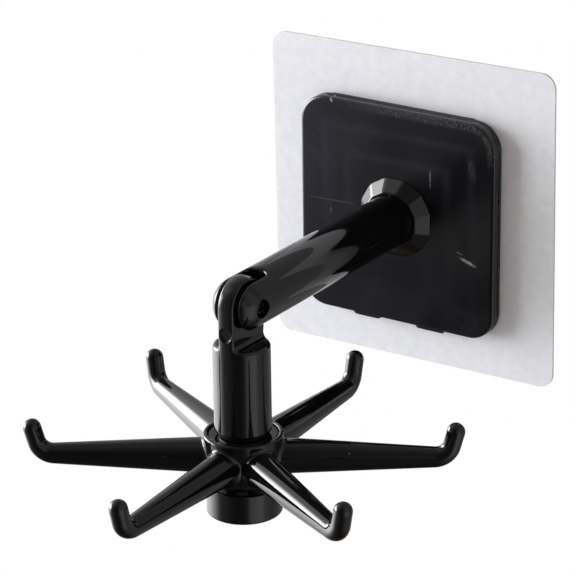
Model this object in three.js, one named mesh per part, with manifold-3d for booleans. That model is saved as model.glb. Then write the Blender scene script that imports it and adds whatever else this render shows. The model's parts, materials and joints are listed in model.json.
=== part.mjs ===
// Rotating utensil hook rack. A square sticker and a two-part plate sit on the wall, a round arm
// reaches out of the plate through a faceted collar and ends in a fork, and a post hangs in that
// fork on a cross screw. A wheel of six hooks turns freely round the post's spigot.
//
// Millimetres, +Z up. The wall is the plane y = 0 and the arm runs out along -Y, so a depth of
// 5 off the wall is the plane y = -5. The origin is where the arm's axis meets the wall.

import * as THREE from 'three';
import { mergeVertices } from 'three/addons/utils/BufferGeometryUtils.js';
import Module from 'manifold-3d';

const wasm = await Module();
wasm.setup();

// Sticker: a clear square, laid by hand a little off the plate's centre and a little turned.
const stickerSide = 95;
const stickerCorner = 4.5;
const adhesiveThickness = 0.3;
const filmThickness = 0.4;
const stickerShiftX = 2.7;
const stickerShiftZ = 2.1;
const stickerTurnDegrees = 0.7;

// Plates.
const plateSide = 66;
const plateCorner = 8.5;
const backPlateThickness = 1.4;
const frontPlateThickness = 2.9;
const frontEdgeRound = 0.9;
const lipLength = 48;
const lipProud = 0.3;
const tabLength = 9.4;
const tabProud = 0.9;
const tabPitch = 21.6;
const hookReach = 1.7;
const hookThickness = 1.2;
const snapGap = 0.2;
const plateRimWidth = 2.6;
const plateHollowDepth = 1.1;
const ribSquareSide = 44;
const ribWidth = 1.6;
const ribCorner = 1;
const centreBossRadius = 8;
const washerPocketRadius = 5.8;
const washerPocketDepth = 0.9;

// Collar.
const collarSides = 12;
const collarTurnDegrees = 15;
const collarBaseRadius = 12.5;
const collarRimRadius = 12.2;
const collarFrontRadius = 8.7;
const collarHeight = 3.5;
const collarGap = 0.2;

// Arm.
const armRadius = 7.8;
const armReach = 85.2;
const flangeRadius = 8.9;
const flangeThickness = 1.6;
const keySide = 7;
const keyCorner = 1;
const keyGap = 0.2;
const keyShortfall = 0.2;
const forkSlotWidth = 6.8;
const forkSlotDepth = 8.7;
const forkSlotCorner = 2.2;
const hingePocketFloor = 5.3;
const pocketGap = 0.2;

// Screws, nut and washers.
const armScrewRadius = 2;
const armScrewLength = 14;
const armScrewHeadRadius = 4;
const armScrewHeadHeight = 1.3;
const armScrewBoreExtra = 1.5;
const armWasherRadius = 5.4;
const armWasherThickness = 0.6;
const hingeScrewRadius = 1.5;
const hingeScrewLength = 12;
const hingeScrewHeadRadius = 2.4;
const hingeScrewHeadHeight = 1.5;
const hingeNutAcrossFlats = 5.5;
const hingeNutThickness = 1.8;
const hingeWasherRadius = 4;
const hingeWasherThickness = 0.75;
const wheelScrewRadius = 1.5;
const wheelScrewLength = 10;
const wheelScrewHeadRadius = 2.9;
const wheelScrewHeadHeight = 1.8;
const wheelScrewBoreExtra = 1;
const wheelWasherRadius = 7.2;
const wheelWasherThickness = 0.9;
const threadGap = 0.1;
const crossSlotWidth = 0.8;
const crossSlotDepth = 0.8;
const crossSlotSpanShare = 1.2;
const headCrownShare = 0.6;
const headDomeShare = 0.5;

// Post.
const tongueThickness = 5;
const postRadius = 8;
const shoulderDrop = 11.3;
const dimpleDrop = 6.7;
const dimpleRadius = 1.9;
const dimpleDepth = 0.8;
const footNeckRadius = 7;
const footNeckHeight = 1.35;
const spigotRadius = 5;
const runningGap = 0.08;
const liftGap = 0.15;

// Wheel.
const wheelTopDrop = 37.9;
const hubRadius = 11.25;
const hubWaistRadius = 10.9;
const hubHeight = 13.5;
const hubEdgeRound = 0.8;
const hubFootTaper = 1.2;
const dishRadius = 10;
const dishDepth = 1.3;
const thrustWasherRadius = 9.6;
const thrustWasherThickness = 0.8;
const hubFloorThickness = 6.2;
const underBoreRadius = 8;
const hookCount = 6;
const hookTurnDegrees = 30.6;
const hookDrop = 45.1;
const hookRootRadius = 5.6;
const hookBendStart = 52.8;
const hookBendRadius = 5;
const hookThroatRadius = 2.95;
const hookTipRadius = 2.6;
const hookTipLength = 4.1;
const hookLeanDegrees = 15;

// Cap.
const capRadius = 10.7;
const capHeight = 8.7;
const capNeckRadius = 9.3;
const capNeckHeight = 1.6;
const capEdgeRound = 0.7;
const capWall = 1.6;
const plugWall = 1.5;
const plugHeight = 3.2;
const plugGap = 0.2;

// Facets: sides of the large and the small rounds, and steps along each curve.
const largeSides = 48;
const smallSides = 24;
const rodSides = 18;
const nutSides = 6;
const cornerSteps = 6;
const edgeSteps = 3;
const noseSteps = 8;
const bendSteps = 7;
const tipSteps = 4;

// How far a cutter runs past the face that it cuts.
const overrun = 1;

// Depths off the wall, and heights, that follow from the sizes above.
const filmBack = adhesiveThickness;
const backPlateBack = filmBack + filmThickness;
const frontPlateBack = backPlateBack + backPlateThickness;
const plateFace = frontPlateBack + frontPlateThickness;
const washerSeat = frontPlateBack + washerPocketDepth;
const hookFace = frontPlateBack + hookReach;
const tongueHalf = tongueThickness / 2;
const slotHalf = forkSlotWidth / 2;
const wheelTop = -wheelTopDrop;
const dishFloor = wheelTop - dishDepth;
const postFoot = dishFloor + thrustWasherThickness + liftGap;
const hubCeiling = dishFloor - hubFloorThickness;
const spigotFoot = hubCeiling - liftGap;
const hubFoot = wheelTop - hubHeight;
const capTop = hubFoot - capNeckHeight;

// A closed geometry as a solid for cutting and joining.
function solid(geometry) {
  const bare = geometry.clone();
  bare.deleteAttribute('normal');
  bare.deleteAttribute('uv');
  const merged = mergeVertices(bare);
  const corners = merged.index.array;
  const kept = [];
  for (let i = 0; i < corners.length; i += 3) {
    const [a, b, c] = corners.subarray(i, i + 3);
    if (a !== b && b !== c && c !== a) kept.push(a, b, c);
  }
  const mesh = new wasm.Mesh({
    numProp: 3,
    vertProperties: new Float32Array(merged.attributes.position.array),
    triVerts: new Uint32Array(kept),
  });
  return new wasm.Manifold(mesh);
}

// A solid back as a geometry.
function geometryOf(body) {
  const mesh = body.getMesh();
  const geometry = new THREE.BufferGeometry();
  geometry.setAttribute('position', new THREE.BufferAttribute(mesh.vertProperties, mesh.numProp));
  geometry.setIndex(new THREE.BufferAttribute(mesh.triVerts, 1));
  geometry.computeVertexNormals();
  return geometry;
}

// Turned forms. A profile is a list of [radius, height] points that climbs on the outside.
function turned(profile, sides) {
  const points = profile.map(([radius, height]) => new THREE.Vector2(radius, height));
  return new THREE.LatheGeometry(points, sides);
}

// A turned form whose axis is the arm's: its heights are depths off the wall.
function turnedOnArm(profile, sides) {
  return solid(turned(profile, sides).rotateX(Math.PI));
}

// A turned form that stands upright, with its axis on Z.
function turnedUpright(profile, sides) {
  return solid(turned(profile, sides).rotateX(Math.PI / 2));
}

// A turned form that lies across, with its axis on X: its heights run along X.
function turnedAcross(profile, sides) {
  return solid(turned(profile, sides).rotateZ(-Math.PI / 2));
}

// Profile of a plain disc or cylinder, and of a ring that closes on itself.
function discProfile(radius, low, high) {
  return [[0, low], [radius, low], [radius, high], [0, high]];
}

function ringProfile(inner, outer, low, high) {
  return [[inner, low], [outer, low], [outer, high], [inner, high], [inner, low]];
}

// Points of a quarter round from one heading to another, about a centre.
function arcPoints(centreRadius, centreHeight, radius, fromDegrees, toDegrees, steps) {
  return Array.from({ length: steps + 1 }, (_, i) => {
    const angle = THREE.MathUtils.degToRad(fromDegrees + (toDegrees - fromDegrees) * i / steps);
    return [centreRadius + radius * Math.cos(angle), centreHeight + radius * Math.sin(angle)];
  });
}

// Outline of a square with round corners, centred on the origin.
function roundedSquare(side, corner) {
  const reach = side / 2 - corner;
  const outline = new THREE.Shape();
  const quarter = Math.PI / 2;
  const corners = [[reach, reach], [-reach, reach], [-reach, -reach], [reach, -reach]];
  corners.forEach(([x, y], i) => outline.absarc(x, y, corner, i * quarter, (i + 1) * quarter, false));
  return outline;
}

// Outline of a rectangle.
function rectangle(left, right, low, high) {
  const outline = new THREE.Shape();
  outline.moveTo(left, low);
  outline.lineTo(right, low);
  outline.lineTo(right, high);
  outline.lineTo(left, high);
  outline.closePath();
  return outline;
}

// An outline drawn on the wall and thickened from one depth to another.
function slab(outline, nearDepth, farDepth) {
  const options = { depth: farDepth - nearDepth, bevelEnabled: false, curveSegments: cornerSteps };
  const geometry = new THREE.ExtrudeGeometry(outline, options);
  return geometry.rotateX(Math.PI / 2).translate(0, -nearDepth, 0);
}

function sticker(nearDepth, farDepth) {
  const geometry = slab(roundedSquare(stickerSide, stickerCorner), nearDepth, farDepth);
  geometry.rotateY(-THREE.MathUtils.degToRad(stickerTurnDegrees));
  return geometry.translate(stickerShiftX, 0, stickerShiftZ);
}

// The lip and the two tabs of the back plate, or with a gap the notches that they sit in.
function plateHooks(gap) {
  const edge = plateSide / 2;
  const inner = edge - hookThickness - gap;
  const lipHalf = lipLength / 2 + gap;
  const lip = rectangle(-lipHalf, lipHalf, inner, edge + lipProud + gap);
  const tabs = [-1, 1].map((side) => {
    const middle = side * tabPitch / 2;
    const half = tabLength / 2 + gap;
    return rectangle(middle - half, middle + half, -edge - tabProud - gap, -inner);
  });
  return [lip, ...tabs].map((outline) => solid(slab(outline, backPlateBack, hookFace + gap)));
}

function backPlate() {
  const outline = roundedSquare(plateSide, plateCorner);
  const hole = turnedOnArm(discProfile(washerPocketRadius, backPlateBack - overrun, plateFace), smallSides);
  let body = solid(slab(outline, backPlateBack, frontPlateBack)).subtract(hole);
  for (const hook of plateHooks(0)) body = body.add(hook);
  return body;
}

// A cover whose front rim is rounded. Behind, it is hollowed between the rim, a square rib and the
// centre boss.
function frontPlate() {
  const outline = roundedSquare(plateSide, plateCorner);
  const options = {
    depth: frontPlateThickness,
    bevelThickness: frontEdgeRound,
    bevelSize: frontEdgeRound,
    bevelOffset: -frontEdgeRound,
    bevelSegments: edgeSteps,
    curveSegments: cornerSteps,
  };
  const rounded = new THREE.ExtrudeGeometry(outline, options);
  rounded.rotateX(Math.PI / 2).translate(0, frontEdgeRound - frontPlateBack, 0);
  const roomy = rectangle(-plateSide, plateSide, -plateSide, plateSide);
  let body = solid(rounded).intersect(solid(slab(roomy, frontPlateBack, plateFace)));
  const hollowFloor = frontPlateBack + plateHollowDepth;
  const cut = (form, floor) => solid(slab(form, frontPlateBack - overrun, floor));
  const outer = cut(roundedSquare(plateSide - 2 * plateRimWidth, plateCorner - plateRimWidth), hollowFloor);
  const ribOuter = cut(roundedSquare(ribSquareSide, ribCorner), plateFace);
  const inner = cut(roundedSquare(ribSquareSide - 2 * ribWidth, ribCorner), hollowFloor);
  const boss = turnedOnArm(discProfile(centreBossRadius, 0, plateFace), largeSides);
  body = body.subtract(outer.subtract(ribOuter)).subtract(inner.subtract(boss));
  const pocket = turnedOnArm(discProfile(washerPocketRadius, 0, washerSeat), smallSides);
  const keyhole = solid(slab(roundedSquare(keySide + 2 * keyGap, keyCorner), 0, plateFace + overrun));
  body = body.subtract(pocket).subtract(keyhole);
  for (const notch of plateHooks(snapGap)) body = body.subtract(notch);
  return body;
}

// A twelve-sided cone over the arm's root flange, with its corners turned round at the base.
function facetedCollar() {
  const front = plateFace + collarHeight;
  const cone = [[0, plateFace], [collarBaseRadius, plateFace], [collarFrontRadius, front], [0, front]];
  const geometry = turned(cone, collarSides).rotateX(Math.PI);
  geometry.rotateY(THREE.MathUtils.degToRad(collarTurnDegrees));
  const rim = discProfile(collarRimRadius, 0, front + overrun);
  const bore = discProfile(armRadius + collarGap, 0, front + overrun);
  const seat = discProfile(flangeRadius + collarGap, 0, plateFace + flangeThickness + collarGap);
  return solid(geometry).intersect(turnedOnArm(rim, largeSides))
    .subtract(turnedOnArm(bore, largeSides)).subtract(turnedOnArm(seat, largeSides));
}

// The slot that splits the arm's end into a fork, with round inner corners.
function forkSlot() {
  const open = -armReach - armRadius - overrun;
  const cornerX = slotHalf - forkSlotCorner;
  const cornerY = forkSlotDepth - armReach - forkSlotCorner;
  const quarter = Math.PI / 2;
  const outline = new THREE.Shape();
  outline.moveTo(-slotHalf, open);
  outline.lineTo(slotHalf, open);
  outline.absarc(cornerX, cornerY, forkSlotCorner, 0, quarter, false);
  outline.absarc(-cornerX, cornerY, forkSlotCorner, quarter, 2 * quarter, false);
  outline.closePath();
  const reach = armRadius + overrun;
  const options = { depth: 2 * reach, bevelEnabled: false, curveSegments: cornerSteps };
  return solid(new THREE.ExtrudeGeometry(outline, options).translate(0, 0, -reach));
}

// The arm: a flange against the plate, a square key in the plate's keyhole, a long round and a
// round nose, with the fork's slot, the hinge's crossing and the root screw's bore cut out.
function arm() {
  const flangeFront = plateFace + flangeThickness;
  const profile = [
    [0, plateFace],
    [flangeRadius, plateFace],
    [flangeRadius, flangeFront],
    [armRadius, flangeFront],
    ...arcPoints(0, armReach, armRadius, 0, 90, noseSteps),
  ];
  profile[profile.length - 1][0] = 0;
  const key = slab(roundedSquare(keySide, keyCorner), washerSeat + keyShortfall, flangeFront);
  const boreEnd = washerSeat + armScrewLength + armScrewBoreExtra;
  const bore = turnedOnArm(discProfile(armScrewRadius + threadGap, 0, boreEnd), smallSides);
  const outside = armRadius + overrun;
  const hole = discProfile(hingeScrewRadius + threadGap, -outside, outside);
  const headPocket = discProfile(hingeScrewHeadRadius + pocketGap, hingePocketFloor, outside);
  const nutPocket = discProfile(hexCorner(hingeNutAcrossFlats) + pocketGap, -outside, -hingePocketFloor);
  const crossing = turnedAcross(hole, smallSides)
    .add(turnedAcross(headPocket, smallSides))
    .add(turnedAcross(nutPocket, nutSides))
    .translate([0, -armReach, 0]);
  return turnedOnArm(profile, largeSides).add(solid(key))
    .subtract(bore).subtract(forkSlot()).subtract(crossing);
}

// Corner radius of a hexagon from its width across flats.
function hexCorner(acrossFlats) {
  return acrossFlats / 2 / Math.cos(Math.PI / nutSides);
}

// A round-headed screw along +Y of its own frame: the head's seat is at zero, the shank climbs.
function screw(shankRadius, length, headRadius, headHeight) {
  const profile = [
    [0, -headHeight],
    [headRadius * headCrownShare, -headHeight],
    [headRadius, -headHeight * headDomeShare],
    [headRadius, 0],
    [shankRadius, 0],
    [shankRadius, length - shankRadius],
    [0, length],
  ];
  const body = solid(turned(profile, smallSides));
  const span = headRadius * crossSlotSpanShare;
  const slot = new THREE.BoxGeometry(span, 2 * crossSlotDepth, crossSlotWidth);
  slot.translate(0, -headHeight, 0);
  const crossing = slot.clone().rotateY(Math.PI / 2);
  return body.subtract(solid(slot).add(solid(crossing)));
}

// A flat ring round the Y axis of its own frame, from zero up.
function washer(inner, outer, thickness) {
  return turned(ringProfile(inner, outer, 0, thickness), smallSides);
}

function hexNut() {
  const blank = solid(turned(discProfile(hexCorner(hingeNutAcrossFlats), 0, hingeNutThickness), nutSides));
  const hole = discProfile(hingeScrewRadius + threadGap, -overrun, hingeNutThickness + overrun);
  return blank.subtract(solid(turned(hole, smallSides)));
}

// The post hangs from the hinge's axis. Its top is a ball end, cut flat on both sides to a tongue, and
// below the shoulder the full round runs down to the foot and the spigot.
function post() {
  const profile = [
    [0, spigotFoot],
    [spigotRadius, spigotFoot],
    [spigotRadius, postFoot],
    [footNeckRadius, postFoot],
    [footNeckRadius, postFoot + footNeckHeight],
    [postRadius, postFoot + footNeckHeight],
    ...arcPoints(0, 0, postRadius, 0, 90, noseSteps),
  ];
  profile[profile.length - 1][0] = 0;
  const roomy = postRadius + overrun;
  const cheek = new THREE.BoxGeometry(roomy, 2 * roomy, shoulderDrop + roomy);
  const cheekMiddle = tongueHalf + roomy / 2;
  const cheekHeight = (roomy - shoulderDrop) / 2;
  const hole = discProfile(hingeScrewRadius + threadGap, -roomy, roomy);
  const boreTop = spigotFoot + wheelScrewLength + wheelScrewBoreExtra;
  const bore = discProfile(wheelScrewRadius + threadGap, spigotFoot - overrun, boreTop);
  const dimple = turned(discProfile(dimpleRadius, postRadius - dimpleDepth, roomy), smallSides);
  dimple.rotateX(Math.PI).translate(0, 0, -dimpleDrop);
  let body = turnedUpright(profile, largeSides);
  for (const side of [-1, 1]) {
    body = body.subtract(solid(cheek.clone().translate(side * cheekMiddle, 0, cheekHeight)));
  }
  return body.subtract(turnedAcross(hole, smallSides)).subtract(turnedUpright(bore, smallSides))
    .subtract(solid(dimple));
}

// Profile of a hook's rod before it is bent: a long even taper, a short one where the bend comes,
// and a round tip.
function hookProfile(bendEnd) {
  const profile = [[0, 0], [hookRootRadius, 0]];
  for (let i = 0; i <= bendSteps; i += 1) {
    const share = i / bendSteps;
    const radius = THREE.MathUtils.lerp(hookThroatRadius, hookTipRadius, share);
    profile.push([radius, THREE.MathUtils.lerp(hookBendStart, bendEnd, share)]);
  }
  profile.push(...arcPoints(0, bendEnd + hookTipLength, hookTipRadius, 0, 90, tipSteps));
  profile[profile.length - 1][0] = 0;
  return profile;
}

// One hook: a turned rod whose length is then carried along the hook's line, which runs out level,
// bends up and leans out a little. It points along +X and its root is on the post's axis.
function hook() {
  const turn = THREE.MathUtils.degToRad(90 - hookLeanDegrees);
  const bendEnd = hookBendStart + hookBendRadius * turn;
  const rod = turned(hookProfile(bendEnd), rodSides);
  const places = rod.attributes.position;
  for (let i = 0; i < places.count; i += 1) {
    const along = places.getY(i);
    const past = Math.max(along - bendEnd, 0);
    const heading = Math.min(Math.max(along - hookBendStart, 0) / hookBendRadius, turn);
    const fromCentre = hookBendRadius - places.getZ(i);
    const out = Math.min(along, hookBendStart) + past * Math.cos(heading) + fromCentre * Math.sin(heading);
    const up = past * Math.sin(heading) + hookBendRadius - fromCentre * Math.cos(heading);
    places.setXYZ(i, out, -places.getX(i), up - hookDrop);
  }
  return rod;
}

// Hub and hooks in one moulding: a dished top, a bore for the spigot and an open underside for the
// washer, the screw and the cap's plug.
function hookWheel() {
  const profile = [
    [0, hubFoot],
    [hubRadius - hubFootTaper, hubFoot],
    [hubWaistRadius, hubFoot + 2 * hubFootTaper],
    [hubWaistRadius, hubCeiling],
    [hubRadius, wheelTop - 2 * hubEdgeRound],
    ...arcPoints(hubRadius - hubEdgeRound, wheelTop - hubEdgeRound, hubEdgeRound, 0, 90, edgeSteps),
    [0, wheelTop],
  ];
  let body = turnedUpright(profile, largeSides);
  for (let i = 0; i < hookCount; i += 1) {
    const angle = THREE.MathUtils.degToRad(hookTurnDegrees + 360 * i / hookCount);
    body = body.add(solid(hook().rotateZ(angle)));
  }
  const dish = discProfile(dishRadius, dishFloor, wheelTop + overrun);
  const bore = discProfile(spigotRadius + runningGap, hubFoot, wheelTop);
  const underBore = discProfile(underBoreRadius, hubFoot - overrun, hubCeiling);
  return body.subtract(turnedUpright(dish, largeSides)).subtract(turnedUpright(bore, largeSides))
    .subtract(turnedUpright(underBore, largeSides));
}

// A cup-shaped cap with a plug ring that stands in the hub's open underside.
function bottomCap() {
  const foot = capTop - capHeight;
  const plug = underBoreRadius - plugGap;
  const profile = [
    [0, foot],
    ...arcPoints(capRadius - capEdgeRound, foot + capEdgeRound, capEdgeRound, -90, 0, edgeSteps),
    [capRadius, capTop],
    [capNeckRadius, capTop],
    [capNeckRadius, hubFoot],
    [plug, hubFoot],
    [plug, hubFoot + plugHeight],
    [plug - plugWall, hubFoot + plugHeight],
    [plug - plugWall, foot + capWall],
    [0, foot + capWall],
  ];
  return turned(profile, largeSides).rotateX(Math.PI / 2);
}

const plastic = { color: 0x1c1c1e, roughness: 0.22, metalness: 0 };
const plateFinish = { color: 0x232325, roughness: 0.45, metalness: 0 };
const steel = { color: 0xb4b6b8, roughness: 0.35, metalness: 1 };
const blackSteel = { color: 0x2a2a2c, roughness: 0.4, metalness: 0.6 };
const nylon = { color: 0xd8d6cf, roughness: 0.5, metalness: 0 };
const filmFinish = { color: 0xe6e8ea, roughness: 0.55, metalness: 0 };
const adhesiveFinish = { color: 0xdfe3e4, roughness: 0.7, metalness: 0 };

const rack = new THREE.Group();
const hanging = new THREE.Group();
hanging.position.y = -armReach;
rack.add(hanging);

// Turns that lay the Y axis of a screw, washer or nut along the arm, across the fork or upright.
const outward = [Math.PI, 0, 0];
const upright = [Math.PI / 2, 0, 0];
const leftward = [0, 0, Math.PI / 2];
const rightward = [0, 0, -Math.PI / 2];
const unturned = [0, 0, 0];

function place(parent, name, geometry, finish, position = [0, 0, 0], rotation = unturned) {
  const mesh = new THREE.Mesh(geometry, new THREE.MeshStandardMaterial(finish));
  mesh.name = name;
  mesh.position.set(...position);
  mesh.rotation.set(...rotation);
  parent.add(mesh);
}

const armBore = armScrewRadius + threadGap;
const hingeBore = hingeScrewRadius + threadGap;
const wheelBore = wheelScrewRadius + threadGap;
const armWasher = washer(armBore, armWasherRadius, armWasherThickness);
const armScrew = geometryOf(screw(armScrewRadius, armScrewLength, armScrewHeadRadius, armScrewHeadHeight));
const armScrewSeat = [0, armWasherThickness - washerSeat, 0];
const hingeScrew = geometryOf(
  screw(hingeScrewRadius, hingeScrewLength, hingeScrewHeadRadius, hingeScrewHeadHeight),
);
const hingeWasher = washer(hingeBore, hingeWasherRadius, hingeWasherThickness);
const thrustWasher = washer(spigotRadius + runningGap, thrustWasherRadius, thrustWasherThickness);
const wheelWasher = washer(wheelBore, wheelWasherRadius, wheelWasherThickness);
const wheelScrew = geometryOf(
  screw(wheelScrewRadius, wheelScrewLength, wheelScrewHeadRadius, wheelScrewHeadHeight),
);
const wheelWasherFoot = [0, 0, spigotFoot - wheelWasherThickness];

place(rack, 'sticker_adhesive', sticker(0, filmBack), adhesiveFinish);
place(rack, 'sticker_film', sticker(filmBack, backPlateBack), filmFinish);
place(rack, 'back_plate', geometryOf(backPlate()), plateFinish);
place(rack, 'front_plate', geometryOf(frontPlate()), plateFinish);
place(rack, 'faceted_collar', geometryOf(facetedCollar()), plastic);
place(rack, 'arm', geometryOf(arm()), plastic);
place(rack, 'arm_screw_washer', armWasher, steel, armScrewSeat, outward);
place(rack, 'arm_screw', armScrew, steel, armScrewSeat, outward);
place(hanging, 'hinge_screw', hingeScrew, blackSteel, [hingePocketFloor, 0, 0], leftward);
place(hanging, 'hinge_nut', geometryOf(hexNut()), steel, [-hingePocketFloor, 0, 0], leftward);
place(hanging, 'hinge_washer_left', hingeWasher, nylon, [-slotHalf, 0, 0], rightward);
place(hanging, 'hinge_washer_right', hingeWasher, nylon, [slotHalf, 0, 0], leftward);
place(hanging, 'post', geometryOf(post()), plastic);
place(hanging, 'thrust_washer', thrustWasher, plastic, [0, 0, dishFloor], upright);
place(hanging, 'hook_wheel', geometryOf(hookWheel()), plastic);
place(hanging, 'wheel_washer', wheelWasher, steel, wheelWasherFoot, upright);
place(hanging, 'wheel_screw', wheelScrew, steel, wheelWasherFoot, upright);
place(hanging, 'bottom_cap', bottomCap(), plastic);

export default rack;
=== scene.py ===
# %% [markdown]
# This lesson dresses a rotating utensil hook rack. On the real thing a square of clear adhesive
# film holds a black plate to the wall, a round arm reaches out through a faceted collar, and a post
# hangs in the arm's forked end. A wheel of six upturned hooks turns on the foot of the post.
#
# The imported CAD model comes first, as a fixed frame. It says where every piece is, so nothing here
# is placed by eye. Blender works in metres, and the sizes below are written in millimetres because
# that is how a moulding is drawn.

import json
import math

import bpy
import numpy as np
from mathutils import Matrix, Vector


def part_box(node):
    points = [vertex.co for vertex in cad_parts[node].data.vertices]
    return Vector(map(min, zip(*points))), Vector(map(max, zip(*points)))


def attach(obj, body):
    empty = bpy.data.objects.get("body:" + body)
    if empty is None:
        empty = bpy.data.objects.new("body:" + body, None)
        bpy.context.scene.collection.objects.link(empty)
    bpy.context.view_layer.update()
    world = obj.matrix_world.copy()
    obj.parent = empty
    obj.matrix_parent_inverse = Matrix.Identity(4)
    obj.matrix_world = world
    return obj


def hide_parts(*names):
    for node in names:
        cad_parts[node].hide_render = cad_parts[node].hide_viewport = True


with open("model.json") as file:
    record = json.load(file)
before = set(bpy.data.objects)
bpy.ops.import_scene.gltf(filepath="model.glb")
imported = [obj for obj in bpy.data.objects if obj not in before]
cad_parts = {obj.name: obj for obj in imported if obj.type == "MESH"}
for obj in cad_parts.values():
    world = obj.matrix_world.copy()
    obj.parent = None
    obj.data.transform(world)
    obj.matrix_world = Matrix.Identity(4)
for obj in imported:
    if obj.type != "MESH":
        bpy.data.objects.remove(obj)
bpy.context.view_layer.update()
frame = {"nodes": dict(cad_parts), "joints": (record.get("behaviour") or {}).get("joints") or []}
METRES_PER_MM = 0.001


# %% [markdown]
# A node's box gives the sizes that a piece shares with its neighbours, such as where the hinge lies
# or how thick the plate is. Sizes that a box can't tell, such as the width of a slot inside a
# piece, are named where the piece is made.

# %% Read sizes from the frame
def extent(node):
    """Lowest and highest corner of a CAD node, in millimetres."""
    low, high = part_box(node)
    return np.array(low) / METRES_PER_MM, np.array(high) / METRES_PER_MM


arm_low, arm_high = extent("arm")
post_low, post_high = extent("post")
washer_low, washer_high = extent("thrust_washer")
wheel_low, wheel_high = extent("hook_wheel")
cap_low, cap_high = extent("bottom_cap")
collar_low, collar_high = extent("faceted_collar")
plate_low, plate_high = extent("front_plate")
backing_low, backing_high = extent("back_plate")

fold = next(joint for joint in frame["joints"] if joint["name"] == "fold")
hinge_y = fold["pos_m"][1] / METRES_PER_MM
arm_reach = -hinge_y
nose_reach = hinge_y - arm_low[1]
plate_face = -plate_low[1]
print("arm reach", round(arm_reach, 1), "plate face", round(plate_face, 1), "mm")


# %% [markdown]
# The camera repeats the photograph's viewpoint. It stands to the right of the rack and above it,
# and a long lens keeps the lines of the plate nearly parallel. The image is taken as 576 x 576
# pixels, so the focal length in pixels turns into a lens length through the sensor's 36 mm.

# %% Place the camera
IMAGE_SIDE_PX = 576
SENSOR_MM = 36
FOCAL_PX = 2964.8
CAMERA_PLACE_MM = (426.9, -699.05, 299.3)
CAMERA_AZIMUTH = math.radians(33.828)
CAMERA_ELEVATION = math.radians(21.524)
CAMERA_ROLL = math.radians(-0.764)
CLIP_START_M = 0.01

camera_data = bpy.data.cameras.new("photo_camera")
camera_data.sensor_width = SENSOR_MM
camera_data.lens = FOCAL_PX * SENSOR_MM / IMAGE_SIDE_PX
camera_data.clip_start = CLIP_START_M
camera = bpy.data.objects.new("photo_camera", camera_data)
bpy.context.scene.collection.objects.link(camera)
bpy.context.scene.camera = camera
turn = Matrix.Rotation(CAMERA_AZIMUTH, 4, "Z")
tilt = Matrix.Rotation(math.radians(90) - CAMERA_ELEVATION, 4, "X")
roll = Matrix.Rotation(CAMERA_ROLL, 4, "Z")
place = Matrix.Translation(Vector(CAMERA_PLACE_MM) * METRES_PER_MM)
camera.matrix_world = place @ turn @ tilt @ roll
print("lens", round(camera_data.lens, 1), "mm")


# %% [markdown]
# Polished black plastic shows nothing but reflections, so its edges matter more than its colour.
# Every moulded edge has a small round that catches a line of light. Cutting booleans and bevelling
# afterwards tends to break such thin rounds where a slot runs out into a round nose.
#
# So each moulding is described by a distance field instead: a function that says how far a point is
# from the surface, below zero inside. Fields join and cut with a round of a stated size, and the
# slope of the field is the surface's exact normal, which keeps the reflections clean.

# %% Fields and how they join
def joined(first, second, fillet=0.0):
    """Both solids as one, with a fillet where they meet."""
    near = np.hypot(np.maximum(fillet - first, 0), np.maximum(fillet - second, 0))
    return np.maximum(fillet, np.minimum(first, second)) - near


def common(first, second, edge_round=0.0):
    """Only what both solids share, with a rounded edge."""
    near = np.hypot(np.maximum(edge_round + first, 0), np.maximum(edge_round + second, 0))
    return np.minimum(-edge_round, np.maximum(first, second)) + near


def cut(body, tool, edge_round=0.0):
    """The body without the tool, with a rounded edge round the cut."""
    return common(body, -tool, edge_round)


def between(value, low, high):
    """A slab of material from one level to another."""
    return np.maximum(low - value, value - high)


def rounded_corner(across, along, corner):
    """Inside corner of two levels, rounded to a radius."""
    reach = np.hypot(np.maximum(across + corner, 0), np.maximum(along + corner, 0))
    return reach + np.minimum(np.maximum(across, along) + corner, 0) - corner


# %% [markdown]
# One function skins a field. It samples the field on a grid, puts a point in every cell that the
# surface passes through, slides the points onto the surface and joins them with quads. The grid
# step decides how small a round can be: about a third of a millimetre shows a half-millimetre edge.
#
# The slope comes first, because it does two jobs: points slide along it until they lie on the
# surface, and it gives the finished mesh its normals.

# %% Slide points onto a field's surface
SLOPE_STEP_MM = 0.01
SETTLE_ROUNDS = 3
LEAST_STEEPNESS = 0.05


def slope(field, points):
    """Value of the field at points, and its steepest upward direction."""
    value = field(*points.T)
    columns = []
    for axis in range(3):
        nudge = np.zeros(3)
        nudge[axis] = SLOPE_STEP_MM
        ahead = field(*(points + nudge).T)
        behind = field(*(points - nudge).T)
        columns.append((ahead - behind) / (2 * SLOPE_STEP_MM))
    return value, np.stack(columns, axis=1)


def settled(field, points):
    """Points slid along the slope until they lie on the surface."""
    for _ in range(SETTLE_ROUNDS):
        value, uphill = slope(field, points)
        steepness = np.maximum((uphill ** 2).sum(axis=1), LEAST_STEEPNESS)
        points = points - uphill * (value / steepness)[:, None]
    return points


# %% [markdown]
# Next comes the grid. The surface crosses a grid edge where the field changes sign between its two
# ends. Every cell with crossed edges gets one point at their mean, and the four cells round a
# crossed edge share a quad. The method is known as surface nets, and it gives even quads.

# %% Find the surface on a grid
def crossings(values, axis):
    """Grid edges along one axis that the surface crosses, and how far along each it does."""
    lower = np.take(values, range(values.shape[axis] - 1), axis)
    upper = np.take(values, range(1, values.shape[axis]), axis)
    crossed = (lower < 0) != (upper < 0)
    gap = np.where(crossed, lower - upper, 1)
    return crossed, np.where(crossed, lower / gap, 0), lower < 0


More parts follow.
